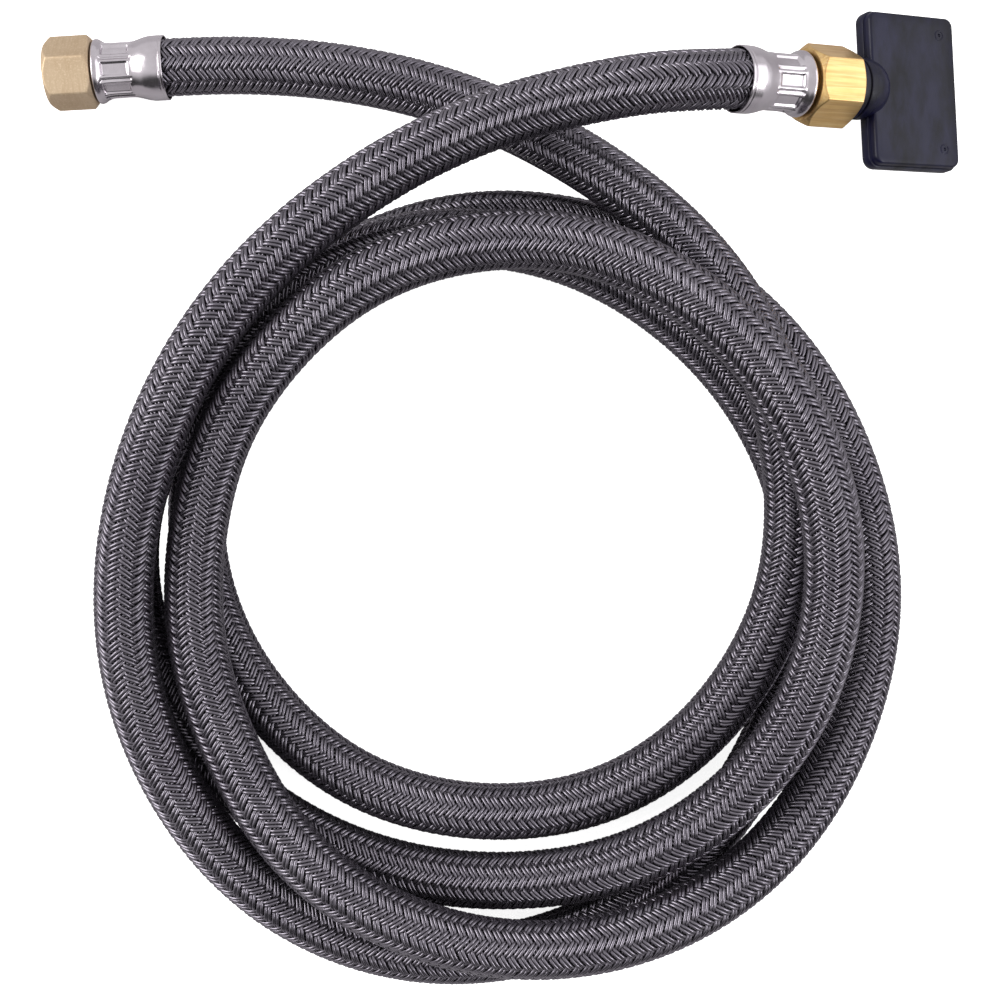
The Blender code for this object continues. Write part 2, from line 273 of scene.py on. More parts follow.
def floor():
    """A plain white floor that throws back less light than it shows."""
    half = FLOOR_SIZE / 2
    mesh = bpy.data.meshes.new("floor")
    corners = [(-half, -half, 0), (half, -half, 0), (half, half, 0), (-half, half, 0)]
    mesh.from_pydata(corners, [], [(0, 1, 2, 3)])
    made = bpy.data.objects.new("floor", mesh)
    made.location.z = -FLOOR_DEPTH * MM
    bpy.context.scene.collection.objects.link(made)
    look = bpy.data.materials.new("floor")
    look.use_nodes = True
    nodes, links = look.node_tree.nodes, look.node_tree.links
    shader = nodes["Principled BSDF"]
    shader.inputs["Roughness"].default_value = 0.9
    shader.inputs["Specular IOR Level"].default_value = 0.0
    tone = nodes.new("ShaderNodeMix")
    tone.data_type = "RGBA"
    tone.inputs[6].default_value = FLOOR_REFLECTED
    tone.inputs[7].default_value = FLOOR_SEEN
    seen = nodes.new("ShaderNodeLightPath").outputs["Is Camera Ray"]
    links.new(seen, tone.inputs[0])
    links.new(tone.outputs[2], shader.inputs["Base Color"])
    fill = nodes.new("ShaderNodeMapRange")
    fill.inputs["To Max"].default_value = FLOOR_FILL
    links.new(seen, fill.inputs["Value"])
    shader.inputs["Emission Color"].default_value = (1, 1, 1, 1)
    links.new(fill.outputs["Result"], shader.inputs["Emission Strength"])
    mesh.materials.append(look)


def studio():
    """The floor, the sky, a large soft lamp on each side and a small one at the near right."""
    sky()
    floor()
    for lamp in LAMPS:
        area_light(*lamp)
    bpy.context.scene.view_settings.view_transform = "Standard"


# ---------------------------------------------------------------- materials

class Look:
    """A node material that is built up step by step."""

    def __init__(self, name, metallic=0.0, roughness=0.4):
        self.material = bpy.data.materials.new(name)
        self.material.use_nodes = True
        self.nodes = self.material.node_tree.nodes
        self.links = self.material.node_tree.links
        self.shader = self.nodes["Principled BSDF"]
        self.shader.inputs["Metallic"].default_value = metallic
        self.shader.inputs["Roughness"].default_value = roughness
        self.coordinates = self.nodes.new("ShaderNodeTexCoord")

    def noise(self, scale, stretch=(1, 1, 1), detail=4.0, rough=0.55):
        """Noise over the object's own coordinates, stretched along its axes."""
        mapping = self.nodes.new("ShaderNodeMapping")
        mapping.inputs["Scale"].default_value = stretch
        self.links.new(self.coordinates.outputs["Object"], mapping.inputs["Vector"])
        texture = self.nodes.new("ShaderNodeTexNoise")
        texture.inputs["Scale"].default_value = scale
        texture.inputs["Detail"].default_value = detail
        texture.inputs["Roughness"].default_value = rough
        self.links.new(mapping.outputs["Vector"], texture.inputs["Vector"])
        return texture.outputs["Fac"]

    def ramp(self, value, stops):
        """Turns a value into a colour."""
        node = self.nodes.new("ShaderNodeValToRGB")
        ramp = node.color_ramp
        while len(ramp.elements) < len(stops):
            ramp.elements.new(0.5)
        for element, (place, colour) in zip(ramp.elements, stops):
            element.position = place
            element.color = (*colour, 1)
        self.links.new(value, node.inputs["Fac"])
        return node.outputs["Color"]

    def span(self, value, low, high, start=0.0, end=1.0):
        """Maps a value from one range to another."""
        node = self.nodes.new("ShaderNodeMapRange")
        node.inputs["From Min"].default_value = start
        node.inputs["From Max"].default_value = end
        node.inputs["To Min"].default_value = low
        node.inputs["To Max"].default_value = high
        self.links.new(value, node.inputs["Value"])
        return node.outputs["Result"]

    def mix(self, factor, one, two):
        """Mixes two colours."""
        node = self.nodes.new("ShaderNodeMix")
        node.data_type = "RGBA"
        for socket, value in zip((0, 6, 7), (factor, one, two)):
            if isinstance(value, (int, float)):
                node.inputs[socket].default_value = value
            elif isinstance(value, tuple):
                node.inputs[socket].default_value = (*value, 1)
            else:
                self.links.new(value, node.inputs[socket])
        return node.outputs[2]

    def colour(self, value):
        """Sets the base colour."""
        self.links.new(value, self.shader.inputs["Base Color"])

    def roughness(self, value):
        """Sets the roughness."""
        self.links.new(value, self.shader.inputs["Roughness"])

    def bump(self, *layers):
        """Sets bump from layers of (value, height in metres), each on top of the one before."""
        normal = None
        for value, height in layers:
            node = self.nodes.new("ShaderNodeBump")
            node.inputs["Distance"].default_value = height
            node.inputs["Strength"].default_value = 1.0
            self.links.new(value, node.inputs["Height"])
            if normal is not None:
                self.links.new(normal, node.inputs["Normal"])
            normal = node.outputs["Normal"]
        self.links.new(normal, self.shader.inputs["Normal"])


def braid_look():
    """Satin steel wire, grey with a violet tint, a little uneven from bundle to bundle."""
    look = Look("braid_wire", metallic=0.9, roughness=0.3)
    patches = look.noise(55, detail=3)
    grain = look.noise(1400, detail=2)
    tone = look.ramp(patches, [(0.3, (0.170, 0.157, 0.184)), (0.7, (0.214, 0.200, 0.228))])
    look.colour(look.mix(look.span(grain, 0.0, 0.35), tone, (0.11, 0.10, 0.12)))
    look.roughness(look.span(grain, 0.17, 0.31))
    look.bump((grain, 0.00002))
    return look.material


def liner_look():
    """Matt black rubber under the braid, made darker than the rubber is: painted shade for the gaps between
    the bundles.
    """
    look = Look("liner_rubber_and_gap_shade", roughness=0.7)
    grain = look.noise(900, detail=3)
    # painted shade: these near-black tones, darker than the rubber's own colour, deepen the shade seen
    # through the braid's gaps
    look.colour(look.ramp(grain, [(0.3, (0.004, 0.004, 0.005)), (0.7, (0.012, 0.011, 0.014))]))
    look.roughness(look.span(grain, 0.7, 0.95))
    look.bump((grain, 0.00003))
    return look.material


def steel_look():
    """Polished stainless sheet with faint drawing lines round it and tiny marks."""
    look = Look("ferrule_steel", metallic=1.0, roughness=0.16)
    rings = look.noise(1.0, stretch=(2600, 90, 90), detail=2)
    clouds = look.noise(160, detail=4)
    tone = look.ramp(clouds, [(0.3, (0.53, 0.49, 0.52)), (0.7, (0.65, 0.615, 0.65))])
    look.colour(tone)
    look.roughness(look.span(clouds, 0.17, 0.27, 0.3, 0.7))
    look.bump((rings, 0.000004), (clouds, 0.00002))
    return look.material


def stem_look():
    """Turned brass."""
    look = Look("stem_brass", metallic=1.0, roughness=0.3)
    rings = look.noise(1.0, stretch=(3000, 60, 60), detail=3)
    clouds = look.noise(140)
    look.colour(look.ramp(clouds, [(0.3, (0.62, 0.42, 0.19)), (0.7, (0.76, 0.55, 0.28))]))
    look.roughness(look.span(clouds, 0.22, 0.38))
    look.bump((rings, 0.000004))
    return look.material


def nut_a_look():
    """Matt tan brass: speckled, with faint tool lines across the axis."""
    look = Look("nut_a_brass", metallic=1.0, roughness=0.45)
    across = look.noise(1.0, stretch=(2300, 130, 130), detail=3)
    clouds = look.noise(170, detail=5)
    specks = look.noise(2300, detail=2)
    tone = look.ramp(clouds, [(0.3, (0.57, 0.435, 0.29)), (0.7, (0.65, 0.515, 0.36))])
    tone = look.mix(look.span(across, 0.0, 0.35, 0.45, 0.75), tone, (0.48, 0.34, 0.20))
    tone = look.mix(look.span(specks, 0.0, 0.5, 0.50, 0.75), tone, (0.82, 0.69, 0.51))
    look.colour(tone)
    look.roughness(look.span(specks, 0.48, 0.66))
    look.bump((across, 0.000004), (specks, 0.00001))
    return look.material


def nut_b_look():
    """Bright golden brass with clear tool lines along the axis."""
    look = Look("nut_b_brass", metallic=1.0, roughness=0.36)
    broad = look.noise(1.0, stretch=(45, 900, 900), detail=3)
    lines = look.noise(1.0, stretch=(80, 2600, 2600), detail=2)
    clouds = look.noise(150, detail=4)
    tone = look.ramp(clouds, [(0.3, (0.74, 0.49, 0.19)), (0.7, (0.84, 0.59, 0.26))])
    tone = look.mix(look.span(broad, 0.0, 0.65, 0.42, 0.72), tone, (0.52, 0.27, 0.10))
    tone = look.mix(look.span(lines, 0.0, 0.40, 0.50, 0.80), tone, (0.98, 0.84, 0.52))
    look.colour(tone)
    look.roughness(look.span(broad, 0.28, 0.44))
    look.bump((broad, 0.000006), (lines, 0.000005))
    return look.material


def rubber_look():
    """Moulded black rubber."""
    look = Look("washer_rubber", roughness=0.6)
    grain = look.noise(700, detail=3)
    look.colour(look.ramp(grain, [(0.3, (0.012, 0.012, 0.012)), (0.7, (0.03, 0.03, 0.03))]))
    look.roughness(look.span(grain, 0.5, 0.75))
    look.bump((grain, 0.00004))
    return look.material


def plastic_look():
    """Blue-black moulded plastic with cloudy flow marks."""
    look = Look("plug_plastic", roughness=0.45)
    look.shader.inputs["Specular IOR Level"].default_value = 0.33
    flow = look.noise(1.0, stretch=(190, 75, 190), detail=5, rough=0.6)
    clouds = look.noise(75, detail=4)
    grain = look.noise(1500, detail=2)
    tone = look.ramp(clouds, [(0.3, (0.002, 0.002, 0.017)), (0.7, (0.007, 0.007, 0.034))])
    look.colour(look.mix(look.span(flow, 0.0, 0.8, 0.42, 0.62), tone, (0.0015, 0.0015, 0.004)))
    look.roughness(look.span(flow, 0.28, 0.50, 0.3, 0.7))
    look.bump((grain, 0.00001), (flow, 0.00003))
    return look.material


# ---------------------------------------------------------------- mesh helpers

def piece(name, verts, faces, look, smooth_angle=None):
    """A mesh object from points in millimetres and faces, shaded smooth."""
    mesh = bpy.data.meshes.new(name)
    if isinstance(faces, np.ndarray):
        count = len(faces)
        mesh.vertices.add(len(verts))
        mesh.vertices.foreach_set("co", (np.asarray(verts, float) * MM).ravel())
        mesh.loops.add(count * 4)
        mesh.loops.foreach_set("vertex_index", faces.ravel().astype(np.int32))
        mesh.polygons.add(count)
        mesh.polygons.foreach_set("loop_start", np.arange(count, dtype=np.int32) * 4)
        mesh.update(calc_edges=True)
        mesh.validate()
    else:
        mesh.from_pydata([tuple(c * MM for c in v) for v in verts], [], faces)
    mesh.shade_smooth()
    if smooth_angle is not None:
        mesh.set_sharp_from_angle(angle=math.radians(smooth_angle))
    mesh.materials.append(look)
    made = bpy.data.objects.new(name, mesh)
    bpy.context.scene.collection.objects.link(made)
    return made


def grid_faces(rows, columns, close_rows=True, close_columns=True):
    """Quads over a grid of points, row by row, closed into a ring either way."""
    row = np.arange(rows if close_rows else rows - 1)
    column = np.arange(columns if close_columns else columns - 1)
    r, c = np.meshgrid(row, column, indexing="ij")
    r2 = (r + 1) % rows
    c2 = (c + 1) % columns
    quads = np.stack([r * columns + c, r * columns + c2, r2 * columns + c2, r2 * columns + c], axis=-1)
    return quads.reshape(-1, 4)


def fitting_matrix(mouth, turn, drop, roll=0.0):
    """Puts a fitting's own frame, +X towards its nut, where the fitting lies."""
    place = Matrix.Translation(Vector(mouth) * MM)
    heading = Matrix.Rotation(math.radians(turn), 4, "Z") @ Matrix.Rotation(math.radians(drop), 4, "Y")
    return place @ heading @ Matrix.Rotation(math.radians(roll), 4, "X")


def turned_rings(outline, angles, radius_change=None):
    """Rings of points about +X for an outline of (position, radius) points."""
    outline = np.asarray(outline, float)
    radius = np.repeat(outline[:, 1:2], len(angles), axis=1)
    if radius_change is not None:
        radius = radius_change(outline[:, 0:1], radius, angles[None, :])
    along = np.repeat(outline[:, 0:1], len(angles), axis=1)
    return np.stack([along, radius * np.sin(angles), radius * np.cos(angles)], axis=-1)


def even_angles(count):
    """Angles about an axis, evenly spaced."""
    return np.arange(count) * 2 * math.pi / count


def turned(name, outline, look, smooth_angle, angles, radius_change=None):
    """A piece turned about +X from a closed outline."""
    grid = turned_rings(outline, angles, radius_change)
    return piece(name, grid.reshape(-1, 3), grid_faces(len(grid), len(angles)), look, smooth_angle)


def rounded(points, radius, steps):
    """An open outline with every corner between its ends rounded off within about the given radius."""
    points = [np.array(p, float) for p in points]
    out = [points[0]]
    for before, corner, after in zip(points, points[1:], points[2:]):
        one = before - corner
        two = after - corner
        reach = min(radius, np.linalg.norm(one) * 0.45, np.linalg.norm(two) * 0.45)
        start = corner + one / np.linalg.norm(one) * reach
        end = corner + two / np.linalg.norm(two) * reach
        for t in np.linspace(0, 1, steps + 1):
            out.append((1 - t) ** 2 * start + 2 * t * (1 - t) * corner + t ** 2 * end)
    out.append(points[-1])
    return out


def fine(points, step):
    """Adds points so that no stretch of an outline is longer than a step."""
    out = []
    for one, two in zip(points, points[1:]):
        one, two = np.array(one, float), np.array(two, float)
        count = max(1, math.ceil(np.linalg.norm(two - one) / step))
        out += [one + (two - one) * i / count for i in range(count)]
    out.append(np.array(points[-1], float))
    return out


# ---------------------------------------------------------------- hose

def smooth_curve(points, per_span):
    """Points along the natural cubic spline through the given points."""
    points = np.asarray(points, float)
    spans = np.linalg.norm(np.diff(points, axis=0), axis=1)
    count = len(points)
    matrix = np.eye(count)
    right = np.zeros((count, 3))
    for i in range(1, count - 1):
        before, after = spans[i - 1], spans[i]
        matrix[i, i - 1:i + 2] = before, 2 * (before + after), after
        right[i] = 6 * ((points[i + 1] - points[i]) / after - (points[i] - points[i - 1]) / before)
    bend = np.linalg.solve(matrix, right)
    out = []
    for i in range(count - 1):
        for t in np.arange(per_span) / per_span:
            s = 1 - t
            lift = ((s ** 3 - s) * bend[i] + (t ** 3 - t) * bend[i + 1]) * spans[i] ** 2 / 6
            out.append(s * points[i] + t * points[i + 1] + lift)
    out.append(points[-1])
    out = np.array(out)
    out[:, 2] = np.maximum(out[:, 2], HOSE_RADIUS)
    return out


def direction(turn, drop):
    """The direction of a fitting's axis."""
    turn, drop = math.radians(turn), math.radians(drop)
    return np.array([math.cos(drop) * math.cos(turn), math.cos(drop) * math.sin(turn), -math.sin(drop)])


def hose_route():
    """The hose's centre line from mouth to mouth."""
    coil = []
    for index, (radius, height) in enumerate(COIL):
        angle = math.radians(COIL_START + COIL_STEP * index)
        x = COIL_CENTRE[0] + radius * math.cos(angle)
        y = COIL_CENTRE[1] + radius * math.sin(angle)
        coil.append((x, y, height))
    return smooth_curve([MOUTH_A, *TAIL_A, *coil, *TAIL_B, MOUTH_B], POINTS_PER_SPAN)


class Route:
    """A centre line read by its own length, with side vectors that don't twist along it."""

    WINDOW = 9               # points over which its direction is averaged

    def __init__(self, points, step=0.5):
        lengths = np.concatenate([[0], np.cumsum(np.linalg.norm(np.diff(points, axis=0), axis=1))])
        self.length = lengths[-1]
        count = int(self.length / step) + 1
        self.at = np.linspace(0, self.length, count)
        self.points = np.stack([np.interp(self.at, lengths, points[:, k]) for k in range(3)], axis=1)
        kernel = np.ones(self.WINDOW) / self.WINDOW
        margin = self.WINDOW // 2
        tangent = np.gradient(self.points, axis=0)
        before = np.repeat(tangent[:1], margin, axis=0)
        after = np.repeat(tangent[-1:], margin, axis=0)
        padded = np.vstack([before, tangent, after])
        tangent = np.stack([np.convolve(padded[:, k], kernel, "valid") for k in range(3)], axis=1)
        tangent /= np.linalg.norm(tangent, axis=1)[:, None]
        side = np.zeros_like(tangent)
        now = np.cross((0, 0, 1), tangent[0])
        for index, along in enumerate(tangent):
            now = now - along * now.dot(along)
            now = now / np.linalg.norm(now)
            side[index] = now
        self.side = side
        self.other = np.cross(tangent, side)

    def read(self, at, values):
        """A vector along the route at each given length."""
        return np.stack([np.interp(at, self.at, values[:, k]) for k in range(3)], axis=-1)

    def place(self, at, angle, radius):
        """Points at a length, angle and radius about the route."""
        middle = self.read(at, self.points)
        side = self.read(at, self.side)
        other = self.read(at, self.other)
        outward = np.cos(angle)[..., None] * side + np.sin(angle)[..., None] * other
        return middle + radius[..., None] * outward


def straight_ends(points, end):
    """The route with a straight stretch into each ferrule."""
    first = np.array(MOUTH_A) + direction(TURN_A, DROP_A) * end
    last = np.array(MOUTH_B) + direction(TURN_B, DROP_B) * end
    return np.vstack([first, points, last])


def bundle_mesh(route, number, turning, rng):
    """The wires of one bundle that winds along the whole hose, over two and under two, as grids of points."""
    slope = 2 * math.pi / BRAID_LEAD * turning
    stretch = math.hypot(BRAID_LAYER * slope, 1.0)
    count = int(route.length * stretch / WIRE_SAMPLES)
    at = np.linspace(0, route.length, count)
    start = 2 * math.pi * number / CARRIERS
    angle = start + slope * at
    # how many crossing bundles it has met, and from that whether it lies over or under the next
    met = (angle + slope * at) * CARRIERS / (2 * math.pi) * turning
    phase = (met + number if turning > 0 else number - met) * math.pi / 2
    wave = np.clip(WAVE_SHARPNESS * np.cos(phase - math.pi / 4), -1, 1)
    lift = (1.5 * wave - 0.5 * wave ** 3) * BRAID_LIFT * turning
    drift_at = np.arange(0, route.length + 2 * WANDER_STEP, WANDER_STEP)
    drift = np.interp(at, drift_at, rng.normal(0, WANDER, len(drift_at)))
    # a step across the bundle moves round the hose and along it
    round_part = 1.0 / stretch
    along_part = -BRAID_LAYER * slope / stretch
    wires = []
    for side in (-0.5, 0.5):
        across = side * WIRE_PITCH + WIRE_WIDTH / 2 * np.sin(WIRE_SECTION)[None, :] + drift[:, None]
        radius = BRAID_LAYER + lift[:, None] + WIRE_HEIGHT / 2 * np.cos(WIRE_SECTION)[None, :]
        angles = angle[:, None] + across * round_part / BRAID_LAYER
        places = np.clip(at[:, None] + across * along_part, 0, route.length)
        wires.append(route.place(places, angles, radius))
    return wires


def braid(points, look):
    """All the bundles of the woven sleeve as one mesh."""
    route = Route(straight_ends(points, BRAID_END))
    rng = np.random.default_rng(7)
    verts, faces, base = [], [], 0
    for turning in (1, -1):
        for number in range(CARRIERS):
            for grid in bundle_mesh(route, number, turning, rng):
                rows, columns = grid.shape[:2]
                quads = grid_faces(rows, columns, False, False)
                verts.append(grid.reshape(-1, 3))
                faces.append(quads[:, ::-1] + base)
                base += rows * columns
    return piece("braid", np.vstack(verts), np.vstack(faces), look)


def liner(points, look):
    """The rubber tube inside the braid."""
    route = Route(straight_ends(points, LINER_END), 1.0)
    stations = np.linspace(0, route.length, int(route.length / LINER_STEP))
    angle = np.repeat(even_angles(LINER_SIDES)[None, :], len(stations), axis=0)
    rows = []
    for radius, order in ((LINER_RADIUS, stations), (LINER_BORE, stations[::-1])):
        at = np.repeat(order[:, None], LINER_SIDES, axis=1)
        rows.append(route.place(at, angle, np.full(at.shape, radius)))
    grid = np.vstack(rows)
    return piece("liner", grid.reshape(-1, 3), grid_faces(len(grid), LINER_SIDES)[:, ::-1], look)


# ---------------------------------------------------------------- ferrules

def step_up(value, start, end):
    """0 before start, 1 after end, smooth between."""
    t = np.clip((value - start) / (end - start), 0, 1)
    return t * t * (3 - 2 * t)


def within(value, rise, fall):
    """1 between a rise and a fall, 0 outside them."""
    return step_up(value, *rise) * (1 - step_up(value, *fall))


def pressed_waist(along, radius, angle):
    """Presses rectangular pockets into the waist's outer side and raises a soft frame round each."""
    pitch = 2 * math.pi / POCKET_COUNT
    arc = np.abs(np.mod(angle + pitch / 2, pitch) - pitch / 2) * WAIST_RADIUS
    pocket = (1 - step_up(arc, *POCKET_EDGE)) * within(along, *POCKET_SPAN)
    pocket_floor = WAIST_RADIUS - POCKET_DEPTH + POCKET_CURVE * arc ** 2
    framed = within(along, *FRAME_SPAN)
    frame = np.exp(-((arc - FRAME_MIDDLE) / FRAME_WIDTH) ** 2) * framed * FRAME_HEIGHT
    valley = step_up(arc, *VALLEY_EDGE) * framed * VALLEY_DEPTH
    pressed = radius * (1 - pocket) + pocket_floor * pocket + frame - valley
    return np.where(radius > CRIMP_BORE + 0.5, pressed, radius)


def ferrule(name, length, look):
    """A crimped ferrule: open bell with a beaded lip, pressed waist, rounded collar at the nut."""
    lip = [
        (0.0, BELL_RADIUS - 0.10), (0.12, BELL_RADIUS), (0.62, BELL_RADIUS),
        (0.74, BELL_RADIUS - 0.10), (0.92, BELL_RADIUS - 0.10),
    ]
    bell = [
        (1.05, BELL_RADIUS), (3.6, BELL_RADIUS - 0.03), (5.0, BELL_RADIUS - 0.28),
        (6.4, BELL_RADIUS - 0.72), (7.6, BELL_RADIUS - 1.06),
    ]
    waist = [(8.6, WAIST_RADIUS), (13.0, WAIST_RADIUS), (14.6, WAIST_RADIUS + 0.10)]
    collar = [
        (length - 2.2, WAIST_RADIUS + 0.42), (length - 1.5, BELL_RADIUS - 0.25),
        (length - 0.9, BELL_RADIUS - 0.03), (length - 0.4, BELL_RADIUS - 0.05),
        (length, BELL_RADIUS - 0.45), (length, BELL_RADIUS - 1.0),
    ]
    bell_bore = BELL_RADIUS - BELL_WALL
    inside = [
        (length, NECK_RADIUS + 0.4), (length - 0.5, NECK_RADIUS + 0.4), (length - 1.3, BELL_RADIUS - 1.3),
        (15.2, CRIMP_BORE), (8.2, CRIMP_BORE), (6.4, bell_bore - 0.7),
        (5.6, bell_bore - 0.25), (0.15, bell_bore), (0.0, bell_bore + 0.1),
    ]
    outline = fine(rounded(lip + bell + waist + collar, 0.5, 3), 0.2) + fine(rounded(inside, 0.2, 2), 0.8)
    return turned(name, outline, look, 50, even_angles(FERRULE_ANGLES), pressed_waist)


# ---------------------------------------------------------------- nuts

def nut_angles():
    """Angles round a nut, closer together near its six corners."""
    spread = np.linspace(-1, 1, NUT_ANGLES_PER_SIDE, endpoint=False)
    local = 30 * np.sign(spread) * (1 - (1 - np.abs(spread)) ** 1.9)
    return np.radians(np.concatenate([local + 60 * side for side in range(6)]))


def thread(start, end):
    """The outline of the thread's grooves, cut from the front of the bore towards the back."""
    outline = []
    place = start
    for _ in range(int((start - 0.1 - end) / THREAD_PITCH)):
        outline += [(place, THREAD_MAJOR), (place - THREAD_PITCH * 0.42, THREAD_MINOR),
                    (place - THREAD_PITCH * 0.58, THREAD_MINOR)]
        place -= THREAD_PITCH
    outline.append((place, THREAD_MAJOR))
    return outline


def nut(name, flats, start, length, slopes, look):
    """A hexagon nut with turned chamfers, softened edges, a real thread and a lip at the back."""
    corner = flats / math.sqrt(3)
    front = start + length
    end_radius = flats / 2 - NUT_END_INSET

    def outside(along, radius, angle):
        turn = np.mod(np.degrees(angle) + 30, 60) - 30
        hexagon = flats / 2 / np.cos(np.radians(turn))
        hexagon = hexagon - NUT_CORNER_EASE * np.exp(-((30 - np.abs(turn)) / NUT_CORNER_ARC) ** 2)
        cone = end_radius + np.minimum(slopes[0] * (along - start), slopes[1] * (front - along))
        gap = np.clip(0.5 + 0.5 * (hexagon - cone) / NUT_EASE, 0, 1)
        blended = hexagon * (1 - gap) + cone * gap - NUT_EASE * gap * (1 - gap)
        return np.where(radius > corner - 0.01, blended, radius)

    back_zone = np.linspace(0, NUT_END_ZONE, 18)
    middle = np.linspace(NUT_END_ZONE, length - NUT_END_ZONE, 6)
    front_zone = np.linspace(length - NUT_END_ZONE, length, 18)
    hexagon_rows = [(start + along, corner) for along in (*back_zone[:-1], *middle, *front_zone[1:])]
    lip = start + NUT_BACK_WALL
    face = [(front, end_radius - 0.25), (front, THREAD_MAJOR + 0.18), (front - 0.12, THREAD_MAJOR + 0.02)]
    back = [
        (lip + 0.15, THREAD_MAJOR - 0.1), (lip, THREAD_MAJOR - 0.3),
        (lip, NUT_BACK_HOLE + 0.1), (lip - 0.1, NUT_BACK_HOLE), (start + 0.1, NUT_BACK_HOLE),
        (start, NUT_BACK_HOLE + 0.15), (start, end_radius - 0.25),
    ]
    outline = hexagon_rows + face + thread(front - 0.6, lip + 1.2) + back
    return turned(name, outline, look, 40, nut_angles(), outside)


# ---------------------------------------------------------------- inner pieces

def nipple(name, look):
    """The stem: barbed tail, neck and flange."""
    barb_foot = STEM_RADIUS - BARB_DEPTH
    tip = (STEM_START, STEM_RADIUS - 0.4)
    outer = [tip]
    for start in BARB_STARTS:
        end = start + BARB_LENGTH
        outer += [(start, barb_foot), (end, STEM_RADIUS), (end + 0.1, barb_foot)]
    outer += [
        (STEM_END, barb_foot), (STEM_END, NECK_RADIUS), (FLANGE_START, NECK_RADIUS),
        (FLANGE_START, FLANGE_RADIUS), (FLANGE_END, FLANGE_RADIUS), (FLANGE_END, WATERWAY_RADIUS),
        (STEM_START, WATERWAY_RADIUS), tip,
    ]
    return turned(name, rounded(outer, 0.12, 2)[:-1], look, 40, even_angles(TURNED_ANGLES))


def cone_washer(name, look):
    """The rubber cone washer on the nipple's flange."""
    hole = WATERWAY_RADIUS + 0.3
    seam = (WASHER_START, hole + 1)
    outer = [
        seam, (WASHER_START, FLANGE_RADIUS), (WASHER_START + WASHER_RIM, FLANGE_RADIUS),
        (WASHER_END, FLANGE_RADIUS - WASHER_TAPER), (WASHER_END, hole), (WASHER_START, hole), seam,
    ]
    return turned(name, rounded(outer, 0.25, 3)[:-1], look, 50, even_angles(TURNED_ANGLES))


# ---------------------------------------------------------------- plug

def corner_outline(length, width, corner, inset, steps=10):
    """The plate's outline, a rectangle with round corners, pulled in by an inset."""
    corner = max(corner - inset, 0.3)
    half_x, half_y = length / 2 - inset - corner, width / 2 - inset - corner
    points = []
    for quarter, (sx, sy) in enumerate(((1, 1), (-1, 1), (-1, -1), (1, -1))):
        for t in np.linspace(0, math.pi / 2, steps):
            angle = quarter * math.pi / 2 + t
            points.append((sx * half_x + corner * math.cos(angle), sy * half_y + corner * math.sin(angle)))
    return points


def closed_stack(rows, per_row):
    """Faces over a stack of rings, with a face over each end."""
    faces = [tuple(int(i) for i in quad) for quad in grid_faces(rows, per_row, False, True)]
    faces.append(tuple(range(per_row))[::-1])
    faces.append(tuple((rows - 1) * per_row + i for i in range(per_row)))
    return faces


def plug_stub(name, look):
    """The stub in the nut, the grooved collar and its domed end."""
    collar = NUT_B_START + NUT_B_LENGTH + COLLAR_GAP
    groove_start, floor_start, floor_end, groove_end = (collar + along for along in GROOVE)
    groove_radius = COLLAR_RADIUS - GROOVE_DEPTH
    outline = rounded([
        (STUB_START, 0.02), (STUB_START, STUB_RADIUS - 0.5), (STUB_START + 0.6, STUB_RADIUS),
        (collar, STUB_RADIUS), (collar, COLLAR_RADIUS), (groove_start, COLLAR_RADIUS),
        (floor_start, groove_radius), (floor_end, groove_radius), (groove_end, COLLAR_RADIUS),
        (DOME_START - 0.1, COLLAR_RADIUS), (DOME_START, DOME_RADIUS),
    ], 0.2, 3)
    for angle in np.radians(np.linspace(4, 89.5, 20)):
        outline.append((DOME_START + DOME_LENGTH * math.sin(angle), DOME_RADIUS * math.cos(angle)))
    grid = turned_rings(outline, even_angles(TURNED_ANGLES))
    return piece(name, grid.reshape(-1, 3).tolist(), closed_stack(len(grid), TURNED_ANGLES), look)


def grip_plate(name, look):
    """The flat grip plate with softened edges and a step round its face."""
    half = PLATE_THICKNESS / 2
    # (height, inset of the outline) of each level, from the underside up
    underside = [
        (-half, 0.75), (-half + 0.1, 0.45), (-half + 0.3, 0.2), (-half + 0.6, 0.06), (-half + 0.9, 0.0),
    ]
    step = [(0.35, 0.0), (0.45, 0.05), (0.5, 0.15), (0.5, 0.42), (0.56, 0.5)]
    top = [(half - 0.75, 0.58), (half - 0.4, 0.68), (half - 0.14, 0.9), (half, 1.25)]
    levels = underside + step + top
    middle = PLATE_START + PLATE_LENGTH / 2
    verts = []
    for height, inset in levels:
        for x, y in corner_outline(PLATE_LENGTH, PLATE_WIDTH, PLATE_CORNER, inset):
            verts.append((middle + x, y, height))
    return piece(name, verts, closed_stack(len(levels), len(verts) // len(levels)), look)


def upright_ring(outline, count, place, look):
    """A ring turned about an upright axis, from (height, radius) points."""
    grid = turned_rings(outline, even_angles(count))
    points = [(place[0] + y, place[1] + z, x) for x, y, z in grid.reshape(-1, 3).tolist()]
    faces = [tuple(int(i) for i in quad) for quad in grid_faces(len(grid), count)]
    made = piece("mark", points, faces, look)
    turn_out(made.data)
    return made


def ejector_mark(body, place, look):
    """A small pit in the plate's face with a low ring round it."""
    face = PLATE_THICKNESS / 2
    pit = [
        (face - 0.30, 0.20), (face - 0.18, 0.36), (face - 0.05, 0.44), (face + 0.4, 0.44),
        (face + 0.4, 0.02), (face - 0.30, 0.02),
    ]
    ring = [
        (face - 0.2, 0.85), (face + 0.05, 0.95), (face + 0.12, 1.15), (face + 0.05, 1.35), (face - 0.2, 1.45),
    ]
    join(body, upright_ring(pit, 32, place, look), "DIFFERENCE")
    join(body, upright_ring(ring, 48, place, look), "UNION")


